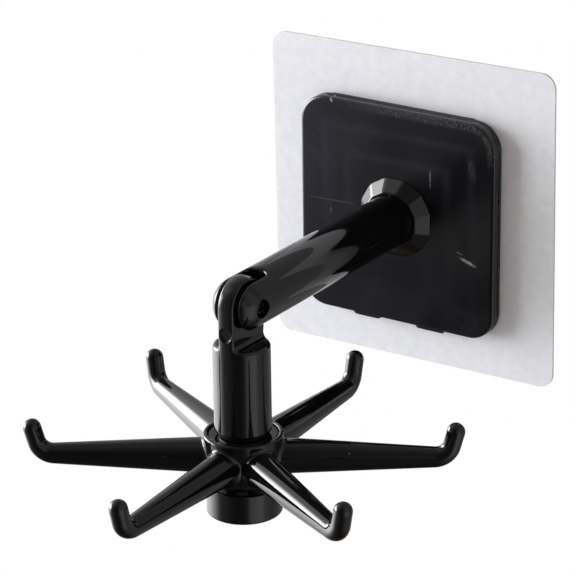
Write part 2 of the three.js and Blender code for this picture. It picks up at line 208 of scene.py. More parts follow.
def net_points(values):
    """One point for each grid cell that the surface passes through, and the cells' numbers."""
    shape = np.array(values.shape) - 1
    total = np.zeros((*shape, 3), np.float32)
    count = np.zeros(shape, np.float32)
    for axis in range(3):
        crossed, share, _ = crossings(values, axis)
        across, beyond = (axis + 1) % 3, (axis + 2) % 3
        for step_across in (0, 1):
            for step_beyond in (0, 1):
                window = [slice(None)] * 3
                window[across] = slice(step_across, step_across + shape[across])
                window[beyond] = slice(step_beyond, step_beyond + shape[beyond])
                hit = crossed[tuple(window)]
                count += hit
                total[..., axis] += share[tuple(window)] * hit
                total[..., across] += hit * step_across
                total[..., beyond] += hit * step_beyond
    busy = count > 0
    numbers = np.full(shape, -1)
    numbers[busy] = np.arange(busy.sum())
    return np.argwhere(busy) + total[busy] / count[busy][:, None], numbers


def net_faces(values, numbers):
    """Quads round every crossed grid edge, all facing out."""
    faces = []
    for axis in range(3):
        crossed, _, starts_inside = crossings(values, axis)
        across, beyond = np.eye(3, dtype=int)[(axis + 1) % 3], np.eye(3, dtype=int)[(axis + 2) % 3]
        edges = np.argwhere(crossed)
        ring = [edges - across - beyond, edges - beyond, edges, edges - across]
        quads = np.stack([numbers[tuple(corner.T)] for corner in ring], axis=1)
        outward = starts_inside[tuple(edges.T)]
        faces.append(np.where(outward[:, None], quads, quads[:, ::-1]))
    return np.concatenate(faces)


# %% [markdown]
# The quads then become a mesh object in metres. It is shaded smooth, and the field's slope is kept as
# its normals, so that a flat face mirrors like a flat face right up to its round.

# %% Make a mesh object from a field
MARGIN_STEPS = 2
LEAST_LENGTH = 1e-6


def mesh_object(name, points_mm, faces, normals=None):
    """A smooth-shaded object from points in millimetres."""
    mesh = bpy.data.meshes.new(name)
    mesh.from_pydata((points_mm * METRES_PER_MM).tolist(), [], faces.tolist())
    mesh.shade_smooth()
    if normals is not None:
        mesh.normals_split_custom_set_from_vertices(normals.tolist())
    made = bpy.data.objects.new(name, mesh)
    bpy.context.scene.collection.objects.link(made)
    print(name, len(mesh.polygons), "faces")
    return made


def skinned(name, field, low, high, step):
    """A field's surface inside a box, as a mesh object."""
    margin = MARGIN_STEPS * step
    axes = [np.arange(a - margin, b + margin + step, step) for a, b in zip(low, high)]
    values = field(*np.meshgrid(*axes, indexing="ij", sparse=True))
    points, numbers = net_points(values)
    faces = net_faces(values, numbers)
    origin = np.array([axis[0] for axis in axes])
    points = settled(field, origin + points * step)
    _, uphill = slope(field, points)
    normals = uphill / np.maximum(np.linalg.norm(uphill, axis=1), LEAST_LENGTH)[:, None]
    return mesh_object(name, points, faces, normals)


# %% [markdown]
# Round pieces with no cuts are turned on a lathe: a profile of radius and height, swept round the
# upright axis. A few points round every edge of the profile give the rim its line of light.

# %% Turn a profile
LATHE_SIDES = 160
EDGE_POINTS = 6
WELD_REACH_M = 1e-6


def rounded_profile(corners):
    """Profile points from corners given as (radius, height, round)."""
    points = []
    count = len(corners)
    for i, (radius, height, edge_round) in enumerate(corners):
        here = np.array([radius, height], float)
        if edge_round == 0:
            points.append(here)
            continue
        before = np.array(corners[i - 1][:2], float) - here
        after = np.array(corners[(i + 1) % count][:2], float) - here
        before /= np.linalg.norm(before)
        after /= np.linalg.norm(after)
        half = math.acos(float(np.clip(before @ after, -1, 1))) / 2
        reach = edge_round / math.tan(half)
        centre = here + (before + after) / np.linalg.norm(before + after) * edge_round / math.sin(half)
        start, end = here + before * reach - centre, here + after * reach - centre
        for k in range(EDGE_POINTS + 1):
            way = start * (EDGE_POINTS - k) + end * k
            points.append(centre + way / np.linalg.norm(way) * edge_round)
    return np.array(points)


def turned(name, corners, closed):
    """A lathe form round the upright axis through the hinge. A closed profile makes a ring."""
    profile = rounded_profile(corners)
    count = len(profile)
    angles = np.arange(LATHE_SIDES) * 2 * math.pi / LATHE_SIDES
    points = np.array([
        [radius * math.cos(angle), hinge_y + radius * math.sin(angle), height]
        for angle in angles for radius, height in profile
    ])
    spans = count if closed else count - 1
    faces = []
    for i in range(LATHE_SIDES):
        here, after = i * count, (i + 1) % LATHE_SIDES * count
        for k in range(spans):
            up = (k + 1) % count
            faces.append((here + k, after + k, after + up, here + up))
    made = mesh_object(name, points, np.array(faces))
    weld = made.modifiers.new("weld_the_axis", "WELD")
    weld.merge_threshold = WELD_REACH_M
    edges = made.modifiers.new("even_shading", "WEIGHTED_NORMAL")
    edges.keep_sharp = True
    return made


# %% [markdown]
# The arm is a moulded rod with a round nose, and a slot splits the nose into a fork. The slot takes
# the nose's foremost point away, so the arm's radius follows from how far the cheeks still reach
# beside it. The slot's floor has round inner corners. A round pocket in the right cheek takes the
# head of the hinge screw, and a six-sided pocket in the left one takes its nut. The flange and the
# square key at the root are hidden by the collar and the plate, but they are part of the moulding.

# %% Model the arm
FORK_SLOT_WIDTH = 6.8
FORK_SLOT_DEPTH = 8.7
FORK_SLOT_CORNER = 2.2
FORK_EDGE_ROUND = 0.9
PIN_HOLE_RADIUS = 1.6
HEAD_POCKET_RADIUS = 2.6
NUT_POCKET_APOTHEM = 2.92
POCKET_FLOOR = 5.3
POCKET_EDGE_ROUND = 0.2
FLANGE_FRONT = plate_face + 1.6
KEY_SIDE = 7
KEY_BACK = -arm_high[1]
FINE_STEP = 0.3
arm_radius = math.hypot(nose_reach, FORK_SLOT_WIDTH / 2)
print("arm radius", round(arm_radius, 2), "mm")


def arm_field(x, y, z):
    depth = -y
    off_axis = np.hypot(x, z)
    along = np.clip(depth, FLANGE_FRONT, arm_reach)
    rod = common(np.hypot(off_axis, depth - along) - arm_radius, plate_face - depth)
    flange = np.maximum(off_axis - arm_high[0], between(depth, plate_face, FLANGE_FRONT))
    key = np.maximum(np.maximum(abs(x), abs(z)) - KEY_SIDE / 2, between(depth, KEY_BACK, FLANGE_FRONT))
    body = joined(joined(rod, flange), key)
    slot = rounded_corner(
        abs(x) - FORK_SLOT_WIDTH / 2, arm_reach - FORK_SLOT_DEPTH - depth, FORK_SLOT_CORNER
    )
    body = cut(body, slot, FORK_EDGE_ROUND)
    ahead = y - hinge_y
    off_pin = np.hypot(ahead, z)
    pin_hole = np.maximum(off_pin - PIN_HOLE_RADIUS, arm_reach - arm_radius - depth)
    head_pocket = np.maximum(off_pin - HEAD_POCKET_RADIUS, POCKET_FLOOR - x)
    half_turned = abs(ahead) * math.cos(math.pi / 3) + abs(z) * math.sin(math.pi / 3)
    nut_pocket = np.maximum(np.maximum(abs(ahead), half_turned) - NUT_POCKET_APOTHEM, POCKET_FLOOR + x)
    body = cut(body, pin_hole)
    body = cut(body, head_pocket, POCKET_EDGE_ROUND)
    return cut(body, nut_pocket, POCKET_EDGE_ROUND)


arm = skinned("arm_moulding", arm_field, arm_low, arm_high, FINE_STEP)
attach(arm, "wall_mount")
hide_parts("arm")


# %% [markdown]
# The post is one moulding too: a rod with a ball end, cut flat on both sides to a tongue that turns
# between the fork's cheeks. The cut runs out into the shoulders with a fillet. Below them the plain
# round goes down to the hub, with a narrower neck at its foot, and a shallow dimple sits in the
# front of the tongue.

# %% Model the post
POST_RADIUS = post_high[0]
TONGUE_THICKNESS = 5
TONGUE_EDGE_ROUND = 0.5
SHOULDER_DROP = 11.3
SHOULDER_ROUND = 1.2
SHOULDER_BLEND = 3
SHOULDER_FILLET = 1.5
DIMPLE_DROP = 6.7
DIMPLE_RADIUS = 1.9
DIMPLE_DEPTH = 0.8
NECK_RADIUS = 7
NECK_HEIGHT = 1.35
LIFT_GAP = 0.15
FOOT_ROUND = 0.35
SPIGOT_RADIUS = 5
neck_foot = washer_high[2] + LIFT_GAP


def post_field(x, y, z):
    ahead = y - hinge_y
    off_axis = np.hypot(x, ahead)
    rod = np.hypot(off_axis, np.maximum(z, 0)) - POST_RADIUS
    beside = rounded_corner(TONGUE_THICKNESS / 2 - abs(x), -SHOULDER_DROP - z, SHOULDER_FILLET)
    levels = [-SHOULDER_DROP, -SHOULDER_DROP + SHOULDER_BLEND]
    edge_round = np.interp(z, levels, [SHOULDER_ROUND, TONGUE_EDGE_ROUND])
    body = common(cut(rod, beside, edge_round), neck_foot + NECK_HEIGHT - z, FOOT_ROUND)
    neck = np.maximum(off_axis - NECK_RADIUS, between(z, neck_foot, -SHOULDER_DROP))
    spigot = np.maximum(off_axis - SPIGOT_RADIUS, between(z, post_low[2], -SHOULDER_DROP))
    body = joined(joined(body, neck), spigot)
    dimple = np.hypot(x, z + DIMPLE_DROP) - DIMPLE_RADIUS
    dimple = np.maximum(dimple, ahead + POST_RADIUS - DIMPLE_DEPTH)
    body = cut(body, dimple, POCKET_EDGE_ROUND)
    return cut(body, np.hypot(ahead, z) - PIN_HOLE_RADIUS)


post = skinned("post_moulding", post_field, post_low, post_high, FINE_STEP)
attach(post, "post")
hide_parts("post")


# %% [markdown]
# Hub and hooks are moulded together. Every hook is a rod that tapers from the hub to a bend, turns
# up and ends in a round tip. Its field follows the middle line out along the straight, round the
# bend and up the tip, with a radius that shrinks on the way.

# %% Describe one hook
HOOK_DROP = 45.1
HOOK_ROOT_RADIUS = 5.6
HOOK_THROAT_RADIUS = 2.95
HOOK_TIP_RADIUS = 2.6
HOOK_BEND_START = 52.8
HOOK_BEND_RADIUS = 5
HOOK_TIP_LENGTH = 4.1
HOOK_RISE = math.radians(75)
bend_end = HOOK_BEND_START + HOOK_BEND_RADIUS * HOOK_RISE
print("a hook's middle line is", round(bend_end + HOOK_TIP_LENGTH, 1), "mm long")


def hook_field(out, aside, z):
    rise = z + HOOK_DROP
    to_centre = HOOK_BEND_RADIUS - rise
    past = out - HOOK_BEND_START
    heading = np.clip(np.arctan2(past, to_centre), 0, HOOK_RISE)
    from_arc = abs(np.hypot(past, to_centre) - HOOK_BEND_RADIUS)
    tip_out = HOOK_BEND_RADIUS * math.sin(HOOK_RISE)
    tip_up = HOOK_BEND_RADIUS * (1 - math.cos(HOOK_RISE))
    along_tip = (past - tip_out) * math.cos(HOOK_RISE) + (rise - tip_up) * math.sin(HOOK_RISE)
    climbed = np.clip(along_tip, 0, HOOK_TIP_LENGTH)
    beyond = np.hypot(
        past - tip_out - climbed * math.cos(HOOK_RISE), rise - tip_up - climbed * math.sin(HOOK_RISE)
    )
    on_rod = past <= 0
    on_tip = (along_tip > 0) & ~on_rod
    travelled = np.where(on_rod, out, HOOK_BEND_START + HOOK_BEND_RADIUS * heading)
    travelled = np.where(on_tip, bend_end, travelled)
    off_line = np.where(on_rod, abs(rise), np.where(on_tip, beyond, from_arc))
    stations = [0, HOOK_BEND_START, bend_end]
    radius = np.interp(travelled, stations, [HOOK_ROOT_RADIUS, HOOK_THROAT_RADIUS, HOOK_TIP_RADIUS])
    return np.hypot(off_line, aside) - radius


# %% [markdown]
# Instead of drawing six hooks, the wheel's field folds space: a point is turned into the sector of
# its nearest hook, so that one description serves them all. The hub narrows to its foot and has a
# dish on top for a washer and a bore below for the screw. The fillet where the hooks leave the hub
# shows as a bright curved line on the real one.

# %% Model the hook wheel
HOOK_COUNT = 6
HOOK_TURN = math.radians(30.6)
HOOK_FILLET = 0.9
HUB_RADIUS = 11.25
HUB_WAIST_RADIUS = 10.9
HUB_FOOT_RADIUS = 10.05
HUB_WAIST_DROP = 45.4
HUB_FOOT_TAPER = 2.4
HUB_EDGE_ROUND = 0.7
HUB_DROP = 37.9
DISH_RADIUS = 10
DISH_EDGE_ROUND = 0.25
UNDER_BORE_RADIUS = 8
SPIGOT_BORE_RADIUS = 5.08
hub_foot = wheel_low[2]
hub_top = -HUB_DROP


def wheel_field(x, y, z):
    ahead = y - hinge_y
    off_axis = np.hypot(x, ahead)
    angle = np.arctan2(ahead, x) - HOOK_TURN
    sector = 2 * math.pi / HOOK_COUNT
    angle = angle - sector * np.round(angle / sector)
    hooks = hook_field(off_axis * np.cos(angle), off_axis * np.sin(angle), z)
    levels = [hub_foot, hub_foot + HUB_FOOT_TAPER, -HUB_WAIST_DROP, hub_top]
    radii = [HUB_FOOT_RADIUS, HUB_WAIST_RADIUS, HUB_WAIST_RADIUS, HUB_RADIUS]
    side = off_axis - np.interp(z, levels, radii)
    hub = common(common(side, z - hub_top, HUB_EDGE_ROUND), hub_foot - z, FOOT_ROUND)
    wheel = joined(hub, hooks, HOOK_FILLET)
    dish = np.maximum(off_axis - DISH_RADIUS, washer_low[2] - z)
    wheel = cut(wheel, dish, DISH_EDGE_ROUND)
    hub_ceiling = post_low[2] + LIFT_GAP
    under_bore = np.maximum(off_axis - UNDER_BORE_RADIUS, z - hub_ceiling)
    return cut(cut(wheel, under_bore), off_axis - SPIGOT_BORE_RADIUS)


wheel = skinned("hook_wheel_moulding", wheel_field, wheel_low, wheel_high, FINE_STEP)
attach(wheel, "wheel")
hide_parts("hook_wheel")


# %% [markdown]
# Two turned pieces finish the wheel: the thin washer that lies in the hub's dish round the foot of
# the post, and the cap that closes the hub from below. Both are plain lathe forms.

# %% Turn the washer and the cap
CAP_EDGE_ROUND = 0.7
CAP_TOP_ROUND = 0.35
CAP_NECK_RADIUS = 9.3
CAP_NECK_HEIGHT = 1.6
CAP_WALL = 1.6
PLUG_RADIUS = 7.8
PLUG_WALL = 1.5
WASHER_EDGE_ROUND = 0.2

thrust_washer = turned(
    "thrust_washer_ring",
    [
        (SPIGOT_BORE_RADIUS, washer_low[2], 0),
        (washer_high[0], washer_low[2], WASHER_EDGE_ROUND),
        (washer_high[0], washer_high[2], WASHER_EDGE_ROUND),
        (SPIGOT_BORE_RADIUS, washer_high[2], 0),
    ],
    closed=True,
)
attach(thrust_washer, "wheel")
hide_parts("thrust_washer")

cap_top = hub_foot - CAP_NECK_HEIGHT
cap = turned(
    "bottom_cap_moulding",
    [
        (0, cap_low[2], 0),
        (cap_high[0], cap_low[2], CAP_EDGE_ROUND),
        (cap_high[0], cap_top, CAP_TOP_ROUND),
        (CAP_NECK_RADIUS, cap_top, 0),
        (CAP_NECK_RADIUS, hub_foot, 0),
        (PLUG_RADIUS, hub_foot, 0),
        (PLUG_RADIUS, cap_high[2], 0),
        (PLUG_RADIUS - PLUG_WALL, cap_high[2], 0),
        (PLUG_RADIUS - PLUG_WALL, cap_low[2] + CAP_WALL, 0),
        (0, cap_low[2] + CAP_WALL, 0),
    ],
    closed=False,
)
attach(cap, "wheel")
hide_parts("bottom_cap")


# %% [markdown]
# The collar is a low cone with twelve flat facets, like a nut. A facet is a flat plane, so each one
# mirrors a single patch of the room: some are pale with the window, and others are grey or nearly
# black. At the base the corners are turned off round. The edges are rounded by a fifth of a
# millimetre.

# %% Model the faceted collar
COLLAR_SIDES = 12
COLLAR_BASE_RADIUS = 12.5
COLLAR_RIM_RADIUS = 12.2
COLLAR_FRONT_RADIUS = 8.7
COLLAR_BORE_GAP = 0.08
COLLAR_EDGE_ROUND = 0.2
COLLAR_SEAT_GAP = 0.2
collar_front = -collar_low[1]
collar_height = collar_front - plate_face


def collar_field(x, y, z):
    depth = -y
    sector = 2 * math.pi / COLLAR_SIDES
    angle = np.arctan2(z, x)
    angle = angle - sector * np.round(angle / sector)
    off_axis = np.hypot(x, z)
    middle = math.cos(sector / 2)
    inward = (COLLAR_BASE_RADIUS - COLLAR_FRONT_RADIUS) * middle / collar_height
    apothem = COLLAR_BASE_RADIUS * middle - (depth - plate_face) * inward
    lean = 1 / math.hypot(1, inward)
    facet = (off_axis * np.cos(angle) - apothem) * lean
    next_facet = (off_axis * np.cos(sector - abs(angle)) - apothem) * lean
    cone = common(facet, next_facet, COLLAR_EDGE_ROUND)
    cone = common(cone, depth - collar_front, COLLAR_EDGE_ROUND)
    cone = common(cone, plate_face - depth)
    cone = common(cone, off_axis - COLLAR_RIM_RADIUS, COLLAR_EDGE_ROUND)
    bore = off_axis - arm_radius - COLLAR_BORE_GAP
    seat = np.maximum(off_axis - arm_high[0] - COLLAR_SEAT_GAP, depth - FLANGE_FRONT)
    return cut(cut(cone, bore, COLLAR_BORE_GAP), seat)


collar = skinned("faceted_collar_moulding", collar_field, collar_low, collar_high, FINE_STEP)
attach(collar, "wall_mount")
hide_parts("faceted_collar")


# %% [markdown]
# The plate is two pieces that snap together. The backing's lip hooks over the cover's top edge,
# where it slopes a little to the front, and two tabs hook round the bottom one. The same form, made
# a little larger, cuts the notches in the cover.

# %% Describe the snap hooks
PLATE_CORNER = 8.5
LIP_LENGTH = 48
LIP_PROUD = 0.3
TAB_LENGTH = 9.4
TAB_PROUD = 0.9
TAB_PITCH = 21.6
HOOK_THICKNESS = 1.2
HOOK_REACH = 1.7
LIP_FALL = 1
plate_half = plate_high[0]
cover_back = -plate_high[1]
backing_back = -backing_high[1]
hook_face = cover_back + HOOK_REACH
print("plate side", round(2 * plate_half, 1), "mm")


def square_field(x, z, half, corner):
    """Distance to a square with round corners, drawn on the wall."""
    return rounded_corner(abs(x) - half, abs(z) - half, corner)


def snap_hooks(x, depth, z, gap):
    """The lip and the two tabs, or with a gap the notches for them."""
    inner = plate_half - HOOK_THICKNESS - gap
    fall = LIP_FALL * (depth - backing_back) / (hook_face - backing_back)
    lip_top = plate_half + LIP_PROUD + gap - fall
    lip = np.maximum(abs(x) - LIP_LENGTH / 2 - gap, np.maximum(inner - z, z - lip_top))
    tab = np.maximum(
        abs(abs(x) - TAB_PITCH / 2) - TAB_LENGTH / 2 - gap,
        between(z, -plate_half - TAB_PROUD - gap, -inner),
    )
    return np.maximum(np.minimum(lip, tab), between(depth, backing_back, hook_face + gap))


# %% [markdown]
# The cover has round corners and a soft rim, and its face shows two faint sunken squares where ribs
# and walls stand behind it: plastic shrinks most where it is thick. The backing is a thin sheet of
# the same outline, joined with its hooks.

# %% Model the plates
PLATE_RIM_ROUND = 0.9
SNAP_GAP = 0.08
SNAP_EDGE_ROUND = 0.15
BACKING_EDGE_ROUND = 0.25
PLATE_STEP = 0.5

# Side and depth of each sink square in millimetres, and what they share.
SINK_SQUARES = [(50, 0.05), (34, 0.04)]
SINK_WIDTH = 2.4
SINK_CORNER = 1


def sink_depth(x, z):
    """How far the face has sunk over the walls behind it."""
    total = 0
    for side, depth in SINK_SQUARES:
        off_line = square_field(x, z, side / 2, SINK_CORNER)
        total = total + depth * np.exp(-(off_line / SINK_WIDTH) ** 2)
    return total


def cover_field(x, y, z):
    depth = -y
    outline = square_field(x, z, plate_half, PLATE_CORNER)
    face = depth - plate_face + sink_depth(x, z)
    cover = common(common(outline, face, PLATE_RIM_ROUND), cover_back - depth, SNAP_EDGE_ROUND)
    return cut(cover, snap_hooks(x, depth, z, SNAP_GAP), SNAP_EDGE_ROUND)


def backing_field(x, y, z):
    depth = -y
    outline = square_field(x, z, plate_half, PLATE_CORNER)
    sheet = common(outline, between(depth, backing_back, cover_back), BACKING_EDGE_ROUND)
    return joined(sheet, snap_hooks(x, depth, z, 0))


cover = skinned("front_plate_moulding", cover_field, plate_low, plate_high, PLATE_STEP)
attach(cover, "wall_mount")
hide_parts("front_plate")
backing = skinned("back_plate_moulding", backing_field, backing_low, backing_high, PLATE_STEP)
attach(backing, "wall_mount")
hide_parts("back_plate")


# %% [markdown]
# Materials come next. Colours are written as sRGB hex, the way a colour picker shows them, and one
# function turns them to the linear values that the shader wants. Another adds a node with its
# settings and links, so that each material reads as a short recipe.

# %% Colour and node helpers
def linear(hex_colour):
    """An sRGB hex colour as linear RGBA."""
    shares = [int(hex_colour[i:i + 2], 16) / 255 for i in (1, 3, 5)]
    return (*[s / 12.92 if s <= 0.04045 else ((s + 0.055) / 1.055) ** 2.4 for s in shares], 1)


def add_node(tree, kind, inputs=None, **settings):
    """A node with its settings, whose inputs are values or other nodes' outputs."""
    made = tree.nodes.new(kind)
    for key, value in settings.items():
        setattr(made, key, value)
    for key, value in (inputs or {}).items():
        if isinstance(value, bpy.types.NodeSocket):
            tree.links.new(value, made.inputs[key])
        else:
            made.inputs[key].default_value = value
    return made


def math_node(tree, operation, *values):
    """The result of one Math node."""
    return add_node(tree, "ShaderNodeMath", dict(enumerate(values)), operation=operation).outputs[0]


def blended(tree, factor, first, second):
    """Two colours mixed by a factor."""
    return add_node(tree, "ShaderNodeMix", {
        "Factor": factor, "A": first, "B": second,
    }, data_type="RGBA").outputs["Result"]


def new_material(name, **sockets):
    """A material with plain values on its Principled shader."""
    material = bpy.data.materials.new(name)
    material.use_nodes = True
    tree = material.node_tree
    shader = tree.nodes["Principled BSDF"]
    for key, value in sockets.items():
        shader.inputs[key.replace("_", " ")].default_value = value
    return material, tree, shader


def connect(tree, shader, **outputs):
    """Links other nodes' outputs to the shader's sockets."""
    for key, output in outputs.items():
        tree.links.new(output, shader.inputs[key.replace("_", " ")])


# %% [markdown]
# Every finish here is a little uneven, and that starts with a noise texture. Its scale counts waves
# in a metre, so a helper takes the size of a patch in millimetres instead. A noise keeps close to
# its middle value, so it is spread before it drives a roughness or a mix. A ramp does the same with
# a length on the object, and the depth of a bump is given in millimetres too.

# %% Noise, ramps and bumps in millimetres
NOISE_LOW = 0.3
NOISE_HIGH = 0.7


def object_place(tree):
    """Where on its object a point lies, in metres."""
    return add_node(tree, "ShaderNodeTexCoord").outputs["Object"]


def waves_per_metre(size_mm):
    """The scale of a texture whose features are about this large."""
    return 1 / (size_mm * METRES_PER_MM)


def noise(tree, place, size_mm, detail=2.0, roughness=0.5):
    """A noise whose features are about this large."""
    return add_node(tree, "ShaderNodeTexNoise", {
        "Vector": place, "Scale": waves_per_metre(size_mm), "Detail": detail, "Roughness": roughness,
    }).outputs["Fac"]


def spread(tree, value, low, high, start=NOISE_LOW, end=NOISE_HIGH):
    """A value stretched so that start and end become low and high."""
    return add_node(tree, "ShaderNodeMapRange", {
        "Value": value, "From Min": start, "From Max": end, "To Min": low, "To Max": high,
    }).outputs["Result"]


def ramp(tree, value, start_mm, end_mm):
    """Zero where a length is at the start, one where it reaches the end."""
    return add_node(tree, "ShaderNodeMapRange", {
        "Value": value, "From Min": start_mm * METRES_PER_MM, "From Max": end_mm * METRES_PER_MM,
    }, interpolation_type="SMOOTHSTEP").outputs["Result"]


def add_bump(tree, shader, height, strength, depth_mm):
    """Lets a height shape the shader's surface."""
    bump = add_node(tree, "ShaderNodeBump", {
        "Height": height, "Strength": strength, "Distance": depth_mm * METRES_PER_MM,
    })
    connect(tree, shader, Normal=bump.outputs["Normal"])


# %% [markdown]
# Handling leaves marks on both plastics. A mark is an ellipse seen from the front. A Mapping node
# moves and turns it to the middle and scales it to a unit circle, so that one length tells how deep
# inside the mark a point lies. The first mark is a brown smear of old glue on the lower part of the
# collar, whose very edge reaches the plate.

# %% Marks, and the smear of glue
MARK_CORE = 0.5
GLUE_GRAIN_MM = 1.1
GLUE_COLOUR = "#2d2317"

# Gain and lift that turn an even noise into separate lumps.
GLUE_LUMPS = (3.0, -0.9)

# Ends of the smear (x and z) and its width, in millimetres.
GLUE_MARK = ((-2.4, -8.9), (7.0, -9.9), 4.2)


def on_mark(tree, place, start, end, width):
    """One in the middle of a mark, zero outside it."""
    along, up = end[0] - start[0], end[1] - start[1]
    middle = ((start[0] + end[0]) / 2, 0, (start[1] + end[1]) / 2)
    half = (math.hypot(along, up) / 2, 1 / METRES_PER_MM, width / 2)
    local = add_node(tree, "ShaderNodeMapping", {
        "Vector": place, "Location": [v * METRES_PER_MM for v in middle],
        "Rotation": (0.0, -math.atan2(up, along), 0.0), "Scale": [v * METRES_PER_MM for v in half],
    }, vector_type="TEXTURE")
    depth = add_node(tree, "ShaderNodeVectorMath", {0: local.outputs["Vector"]}, operation="LENGTH")
    return spread(tree, depth.outputs["Value"], 0, 1, start=1, end=MARK_CORE)


def with_glue(tree, place, colour):
    """The colour under the old glue, or the glue's own."""
    lumps = math_node(tree, "MULTIPLY_ADD", noise(tree, place, GLUE_GRAIN_MM, detail=3.0), *GLUE_LUMPS)
    cover = math_node(tree, "MULTIPLY", on_mark(tree, place, *GLUE_MARK), lumps)
    return blended(tree, cover, colour, linear(GLUE_COLOUR))


# %% [markdown]
# Arm, post, wheel, cap, washer and collar are black ABS from a polished mould. The colour is nearly
# black all through, and the gloss comes from a smooth skin with an index of refraction of about
# 1.5. Flow in the mould leaves the gloss a little uneven over a few millimetres, and a few specks
# of dust and tiny nicks show as light dots. The collar also carries its part of the glue.

# %% Gloss black ABS
ABS_IOR = 1.52
GLOSS_COLOUR = "#0b0c0c"
GLOSS_ROUGHNESS = (0.035, 0.075)
FLOW_MM = 7
ORANGE_PEEL_MM = 2.5
ORANGE_PEEL_BUMP = (0.25, 0.01)
SPECK_COLOUR = "#8b8a86"
SPECK_SPACING_MM = 3.4
SPECK_SHARE = 0.055
SPECK_PICK = 0.9


def polished_abs(name, glued):
    material, tree, shader = new_material(name, IOR=ABS_IOR, Metallic=0.0)
    place = object_place(tree)
    specks = add_node(tree, "ShaderNodeTexVoronoi", {
        "Vector": place, "Scale": waves_per_metre(SPECK_SPACING_MM), "Randomness": 1.0,
    })
    near = math_node(tree, "LESS_THAN", specks.outputs["Distance"], SPECK_SHARE)
    draw = add_node(tree, "ShaderNodeSeparateColor", {"Color": specks.outputs["Color"]}).outputs["Red"]
    speck = math_node(tree, "MULTIPLY", near, math_node(tree, "GREATER_THAN", draw, SPECK_PICK))
    colour = blended(tree, speck, linear(GLOSS_COLOUR), linear(SPECK_COLOUR))
    if glued:
        colour = with_glue(tree, place, colour)
    flow = noise(tree, place, FLOW_MM, detail=3.0)
    connect(tree, shader, Base_Color=colour, Roughness=spread(tree, flow, *GLOSS_ROUGHNESS))
    add_bump(tree, shader, noise(tree, place, ORANGE_PEEL_MM), *ORANGE_PEEL_BUMP)
    return material


gloss_black = polished_abs("polished_black_abs", glued=False)
glued_black = polished_abs("glued_black_abs", glued=True)
moulded = {arm: gloss_black, post: gloss_black, wheel: gloss_black, thrust_washer: gloss_black,
           cap: gloss_black, collar: glued_black}
for piece, material in moulded.items():
    piece.data.materials.append(material)
print("polished ABS on", len(moulded), "pieces")


# %% [markdown]
# The plates are black ABS as well, but from a mould that was only stoned, so the face is satin and
# slightly grey. It is faintly streaky up and down, and a painted sheen lightens its upper left, where
# the window's light falls. Each function below adds one layer: it takes the colour so far and
# returns the next.

# %% Streaks, painted sheen and painted rib reflections of the satin face
SATIN_COLOURS = ("#060609", "#0e0e13")
HAZE_MM = 16
STREAK_LENGTH_MM = 12
STREAK_WIDTH_MM = 0.8
STREAK_STRENGTH = 1.8
# Painted sheen that lightens the upper left of the face, where the window's light falls.
PAINTED_SHEEN_COLOUR = "#1c1c25"
PAINTED_SHEEN_SPAN = ((4, -38), (-30, 8))
PAINTED_SHEEN_UNEVEN = (0.8, 0.5)
# Painted reflection: lighter lines along the sunken ribs.
PAINTED_RIB_SHEEN_COLOUR = "#25252e"
RIB_SHEEN_WIDTH_MM = 2.2
RIB_SHEEN_SPAN = (-26, 20)
RIB_SHEEN_STRENGTH = 0.3


def over_face(tree, axes, span_x, span_z):
    """One where the ramps across and up the face are both full."""
    return math_node(tree, "MULTIPLY", ramp(tree, axes["X"], *span_x), ramp(tree, axes["Z"], *span_z))


def streaky_sheened_colour(tree, place, axes, haze):
    """Streaky black with a painted sheen over its upper left."""
    stretch = add_node(tree, "ShaderNodeMapping", {
        "Vector": place,
        "Scale": (waves_per_metre(STREAK_WIDTH_MM), 1.0, waves_per_metre(STREAK_LENGTH_MM)),
    })
    streaks = add_node(tree, "ShaderNodeTexNoise", {
        "Vector": stretch.outputs["Vector"], "Scale": 1.0, "Detail": 2.0,
    }).outputs["Fac"]
    uneven = math_node(tree, "MULTIPLY", haze, math_node(tree, "MULTIPLY", streaks, STREAK_STRENGTH))
    colour = blended(tree, uneven, *[linear(tone) for tone in SATIN_COLOURS])
    # Painted sheen, laid unevenly over the upper left of the face.
    cloud = math_node(tree, "MULTIPLY_ADD", haze, *PAINTED_SHEEN_UNEVEN)
    sheen_share = math_node(tree, "MULTIPLY", over_face(tree, axes, *PAINTED_SHEEN_SPAN), cloud)
    return blended(tree, sheen_share, colour, linear(PAINTED_SHEEN_COLOUR))


def with_painted_rib_sheen(tree, axes, colour):
    """The colour with painted lines of reflection where the face has sunk over the ribs."""
    reach = math_node(tree, "MAXIMUM", *[math_node(tree, "ABSOLUTE", axes[axis]) for axis in ("X", "Z")])
    shown = ramp(tree, axes["Z"], *RIB_SHEEN_SPAN)
    for side, _ in SINK_SQUARES:
        past_rib = math_node(tree, "SUBTRACT", reach, side / 2 * METRES_PER_MM)
        off_rib = math_node(tree, "ABSOLUTE", past_rib)
        # A painted line of reflection along this rib.
        line = math_node(tree, "MULTIPLY", ramp(tree, off_rib, RIB_SHEEN_WIDTH_MM, 0), shown)
        strength = math_node(tree, "MULTIPLY", line, RIB_SHEEN_STRENGTH)
        colour = blended(tree, strength, colour, linear(PAINTED_RIB_SHEEN_COLOUR))
    return colour


# %% [markdown]
# Fine painted glints run along the rim at the top and round the right corner. The rim follows the
# plate's round corners, so it is found from the distance to the corner's centre. Years of handling
# show in scratches and a light scuff, a painted glint lights the end of the lip, and the grain
# breaks each of these marks up.

# %% Painted glints and marks of the satin face
# Painted glints: light speckles along the top rim and round the right corner.
PAINTED_GLINT_COLOUR = "#a8a8ae"
GLINT_SIZE_MM = 0.3
GLINT_NOISE = (0.44, 0.75)
GLINT_STRENGTH = 0.17
GLINT_SPAN = ((-26, 4), (18, 26))
RIM_BAND_MM = 3
